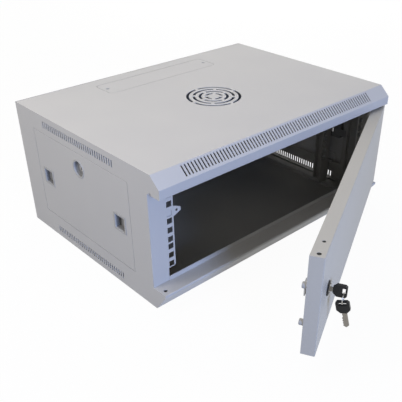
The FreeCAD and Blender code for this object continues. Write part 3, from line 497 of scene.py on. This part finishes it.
# keys on their split ring, which hangs from the eye of the key in the lock
for name in ("key", "spare_key"):
    softened(name + "_bow", blackPlastic, name, rounds["keyBow"], steps=4)
    softened(name + "_blade", wornNickel, name, rounds["keyBlade"], steps=1)
ring = {
    "y": -0.2199,
    "eye": joints["key_ring_swing"]["pos_m"][2],
    "radius": 0.008,
    "wire": 0.00042,
    "wireSides": 12,
    "apart": 0.00082,           # between the middles of its two coils
    "steps": 72,
}


def splitRing():
    # two coils side by side, each a round wire spun about the ring's middle
    coils = []
    for side in (-0.5, 0.5):
        mesh = bmesh.new()
        wire = bmesh.ops.create_circle(mesh, cap_ends=False, radius=ring["wire"],
                                       segments=ring["wireSides"])["verts"]
        start = moved(ring["radius"], 0, side*ring["apart"]) @ turned(90, "X")
        bmesh.ops.transform(mesh, matrix=start, verts=wire)
        bmesh.ops.spin(mesh, geom=mesh.verts[:] + mesh.edges[:], cent=(0, 0, 0), axis=(0, 0, 1),
                       dvec=(0, 0, 0), angle=2*math.pi, steps=ring["steps"], use_merge=True,
                       use_duplicate=False)
        coils.append(mesh)
    middle = moved(lock["x"], ring["y"], ring["eye"] - ring["radius"])
    return placed(joined(coils), doorOpen, middle, turned(90, "X"))


finishMesh(splitRing(), "split_ring", nickelPlate, "ring", ("key_ring",))
print("keys made")

# sprung hinge pin
softened("upper_hinge_pin", zincPlate, "hinge_pin", rounds["pin"])
pinJoint = joints["hinge_pin_slide"]
spring = {
    "low": 0.148,
    "high": 0.1817,
    "radius": 0.0038,
    "wire": 0.0004,
    "wireSides": 8,
    "turns": 10,
    "steps": 20,                # in a turn
    "foot": pinJoint["deforming_nodes"][0]["fixed_end_z_m"],
    "travel": -pinJoint["range_m"][0],
}


def coil():
    # round wire carried up a screw line, closed at both ends
    mesh = bmesh.new()
    wire = bmesh.ops.create_circle(mesh, cap_ends=True, radius=spring["wire"],
                                   segments=spring["wireSides"])["verts"]
    start = moved(spring["radius"], 0, spring["low"]) @ turned(90, "X")
    bmesh.ops.transform(mesh, matrix=start, verts=wire)
    allSteps = spring["turns"]*spring["steps"]
    climb = (spring["high"] - spring["low"])/allSteps
    bmesh.ops.spin(mesh, geom=mesh.faces[:] + mesh.edges[:] + mesh.verts[:], cent=(0, 0, 0),
                   axis=(0, 0, 1), dvec=(0, 0, climb), angle=2*math.pi*spring["turns"], steps=allSteps,
                   use_merge=False, use_duplicate=False)
    return placed(mesh, doorOpen, hingeAt)


coilPiece = finishMesh(coil(), "coil_spring", springSteel, "door", ("upper_hinge_spring",))
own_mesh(coilPiece)
print("hinge pin made")

# cable covers: plate with rounded corners and two countersunk screws
coverLow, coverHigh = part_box("top_cable_cover")
cover = {
    "gap": 0.0003,              # round the plate in its opening
    "corner": 0.008,
    "cornerSteps": 8,
    "screwX": 0.116,
    "hole": 0.0036,
    "holeSides": 32,
    "sink": 0.0005,
}
coverScrew = {
    "radius": 0.0032,
    "tall": 0.0006,
    "cross": 0.0004,
    "reach": 0.0019,
    "sunk": 0.0005,
}


def coverPlate():
    # rounded plate with its two screw holes, its outer face at z = 0
    size = coverHigh - coverLow
    mesh = bmesh.new()
    bmesh.ops.create_grid(mesh, x_segments=1, y_segments=1, size=0.5)
    bmesh.ops.scale(mesh, vec=(size.x - 2*cover["gap"], size.y - 2*cover["gap"], 1), verts=mesh.verts)
    bmesh.ops.bevel(mesh, geom=mesh.verts[:], offset=cover["corner"], segments=cover["cornerSteps"],
                    affect="VERTICES", profile=0.5, material=-1)
    bmesh.ops.delete(mesh, geom=mesh.faces[:], context="FACES_ONLY")
    for side in (-1, 1):
        bmesh.ops.create_circle(mesh, cap_ends=False, radius=cover["hole"], segments=cover["holeSides"],
                                matrix=moved(side*cover["screwX"], 0, 0))
    bmesh.ops.triangle_fill(mesh, use_beauty=True, edges=mesh.edges[:])
    raised = bmesh.ops.extrude_face_region(mesh, geom=mesh.faces[:])["geom"]
    bmesh.ops.translate(mesh, vec=(0, 0, -size.z),
                        verts=[item for item in raised if isinstance(item, bmesh.types.BMVert)])
    return mesh


coverY = (coverLow.y + coverHigh.y)/2
coverPlaces = {
    "top": moved(0, coverY, coverHigh.z),
    "bottom": moved(0, coverY, 0) @ turned(180, "X"),
}
for name, at in coverPlaces.items():
    finishMesh(placed(coverPlate(), at), name + "_cover_plate", coatPlain, "cabinet",
               (name + "_cable_cover",), soften=rounds["coverPlate"], steps=1)
    heads = [placed(crossHead(coverScrew), at, moved(side*cover["screwX"], 0, -cover["sink"]))
             for side in (-1, 1)]
    finishMesh(joined(heads), name + "_cover_screws", zincPlate, "cabinet")
print("cable covers made")

# side locks: dished escutcheon turned about the lock's axis, clip behind it, nickel core
cup = {
    "at": joints["left_lock_turn"]["pos_m"][1:],        # y and z of the left lock
    "bore": 0.0056,
    "bowl": 0.013,
    "deep": 0.0055,
    "radius": 0.016,            # the lip on the panel
    "proud": 0.0008,
    "body": 0.0138,             # behind the panel
    "back": 0.0102,
    # in from the bowl's wall and up from its floor
    "fillet": ((0.0012, 0), (0.0004, 0.0005), (0, 0.0015)),
    # out from the wall and down from the lip's top
    "lipInner": ((0, 0.0005), (0.0003, 0.0001), (0.0007, 0)),
    # in from the lip's rim and down from its top
    "lipOuter": ((0.0006, 0), (0.0001, 0.0003)),
    "steps": 72,
}


def cupMesh():
    # height 0 is the face of the panel, outwards is up
    floor, top, back = -cup["deep"], cup["proud"], -cup["back"]
    outline = [(cup["bore"], floor)]
    outline += [(cup["bowl"] - inwards, floor + up) for inwards, up in cup["fillet"]]
    outline += [(cup["bowl"] + outwards, top - down) for outwards, down in cup["lipInner"]]
    outline += [(cup["radius"] - inwards, top - down) for inwards, down in cup["lipOuter"]]
    outline += [(cup["radius"], 0), (cup["body"], 0), (cup["body"], back), (cup["bore"], back)]
    return placed(lathed(outline, cup["steps"]), moved(-halfWidth, *cup["at"]), turned(-90, "Y"))


leftCup = cupMesh()
finishMesh(joined([flipped(leftCup), leftCup]), "dished_cups", greyPlastic, "cabinet",
           ("side_lock_bodies",))
softened("side_lock_clips", zincPlate, "cabinet", rounds["part"])
for side in ("left", "right"):
    softened(side + "_side_lock_core", nickelPlate, side + "_lock_core", rounds["part"])
    softened(side + "_side_lock_cam", zincPlate, side + "_lock_core", rounds["part"])
    softened(side + "_side_panel", coatPlain, "cabinet", rounds["sidePanel"])
    softened(side + "_rail_bolts", zincPlate, side + "_rail", rounds["pin"])
    softened(side + "_rear_rail", coatShell, side + "_rail", rounds["part"], steps=1)
    softened(side + "_front_post", coatShell, "cabinet", rounds["part"], steps=1)
    for end in ("front", "rear"):
        latch = "%s_%s_latch" % (side, end)
        softened(latch + "_housing", greyPlastic, "cabinet", rounds["part"])
        softened(latch + "_slide", greyPlastic, latch, rounds["part"])
softened("earth_bracket", coatPlain, "cabinet", rounds["part"])
print("side locks and latches made")

# shell: the solids that are shown as they are, all powder coated, with painted shade inside the shell
for solid in nodes.values():
    solid.data.materials.clear()
    solid.data.materials.append(coatShell)

# studio: white floor and backdrop, a window in front on the left, soft boxes above and beside
studio = {
    "floorSize": 12.0,
    "floorDrop": 0.0002,        # metres below the cabinet
    "floor": "#8E8E8E",
    "floorRough": 0.95,
    "floorGlow": (0.9, 1.07),   # share and strength of the white that the camera sees on the floor
    "world": ("#FFFAF5", 0.3),
    "glareless": "rearRight",   # lamp that leaves no mirror image on the top
    "lamps": [
        # name, place, aim, width, height, watts, colour
        ("overhead", (-0.3, 0.6, 2.2), (0, 0, 0), 2.0, 1.8, 15, "#FFFCFA"),
        ("leftHigh", (-0.95, 0, 0.95), (-0.1, 0, 0.15), 0.45, 0.45, 5.4, "#FFF8F2"),
        ("frontWindow", (-0.76, -2.4, 0.75), (0, -0.1, 0.1), 0.6, 0.6, 48, "#B5CBFF"),
        ("rearRight", (1.9, 1.7, 1.0), (0, 0, 0.1), 1.4, 1.0, 32, "#FFFAF6"),
    ],
}
white = (1, 1, 1, 1)


def seenDirectly(tree):
    # 1 for the rays that show the studio itself: camera, mirror and see-through rays
    rays = addNode(tree, "ShaderNodeLightPath").outputs
    either = addNode(tree, "ShaderNodeMath", {"operation": "MAXIMUM"},
                     {0: rays["Is Camera Ray"], 1: rays["Is Glossy Ray"]})
    return addNode(tree, "ShaderNodeMath", {"operation": "MAXIMUM"},
                   {0: either.outputs[0], 1: rays["Is Transmission Ray"]}).outputs[0]


def makeBackdrop():
    # plain weak light all round, white where it is seen
    world = bpy.data.worlds.new("studioWorld")
    bpy.context.scene.world = world
    world.use_nodes = True
    tree = world.node_tree
    tree.nodes.clear()
    hexText, strength = studio["world"]
    plain = addNode(tree, "ShaderNodeBackground", {"Color": linear(hexText), "Strength": strength})
    bright = addNode(tree, "ShaderNodeBackground", {"Color": white, "Strength": 1.0})
    mixed = addNode(tree, "ShaderNodeMixShader", None,
                    {0: seenDirectly(tree), 1: plain.outputs[0], 2: bright.outputs[0]})
    addNode(tree, "ShaderNodeOutputWorld", None, {"Surface": mixed.outputs[0]})


def makeFloor():
    # matt grey floor that takes the shadow, mostly white where it is seen
    mesh = bmesh.new()
    bmesh.ops.create_grid(mesh, x_segments=1, y_segments=1, size=studio["floorSize"]/2)
    bmesh.ops.translate(mesh, verts=mesh.verts, vec=(0, 0, -studio["floorDrop"]))
    data = bpy.data.meshes.new("floor")
    mesh.to_mesh(data)
    mesh.free()
    floor = bpy.data.objects.new("floor", data)
    bpy.context.scene.collection.objects.link(floor)
    material, tree, surface = newMaterial("matt white floor", {"Base Color": linear(studio["floor"]),
                                                               "Roughness": studio["floorRough"]})
    share, strength = studio["floorGlow"]
    glow = addNode(tree, "ShaderNodeEmission", {"Color": white, "Strength": strength})
    seen = addNode(tree, "ShaderNodeMath", {"operation": "MULTIPLY", 1: share}, {0: seenDirectly(tree)})
    mixed = addNode(tree, "ShaderNodeMixShader", None,
                    {0: seen.outputs[0], 1: surface.outputs[0], 2: glow.outputs[0]})
    tree.links.new(mixed.outputs[0], tree.nodes["Material Output"].inputs["Surface"])
    data.materials.append(material)


def makeLamps():
    for name, place, aim, width, height, watts, hexText in studio["lamps"]:
        lamp = bpy.data.lights.new(name, "AREA")
        lamp.shape = "RECTANGLE"
        lamp.size = width
        lamp.size_y = height
        lamp.energy = watts
        lamp.color = linear(hexText)[:3]
        holder = bpy.data.objects.new(name, lamp)
        bpy.context.scene.collection.objects.link(holder)
        holder.location = place
        holder.rotation_euler = (Vector(aim) - Vector(place)).to_track_quat("-Z", "Y").to_euler()
        holder.visible_glossy = name != studio["glareless"]


makeBackdrop()
makeFloor()
makeLamps()
bpy.context.scene.view_settings.view_transform = "Standard"
print("studio made")
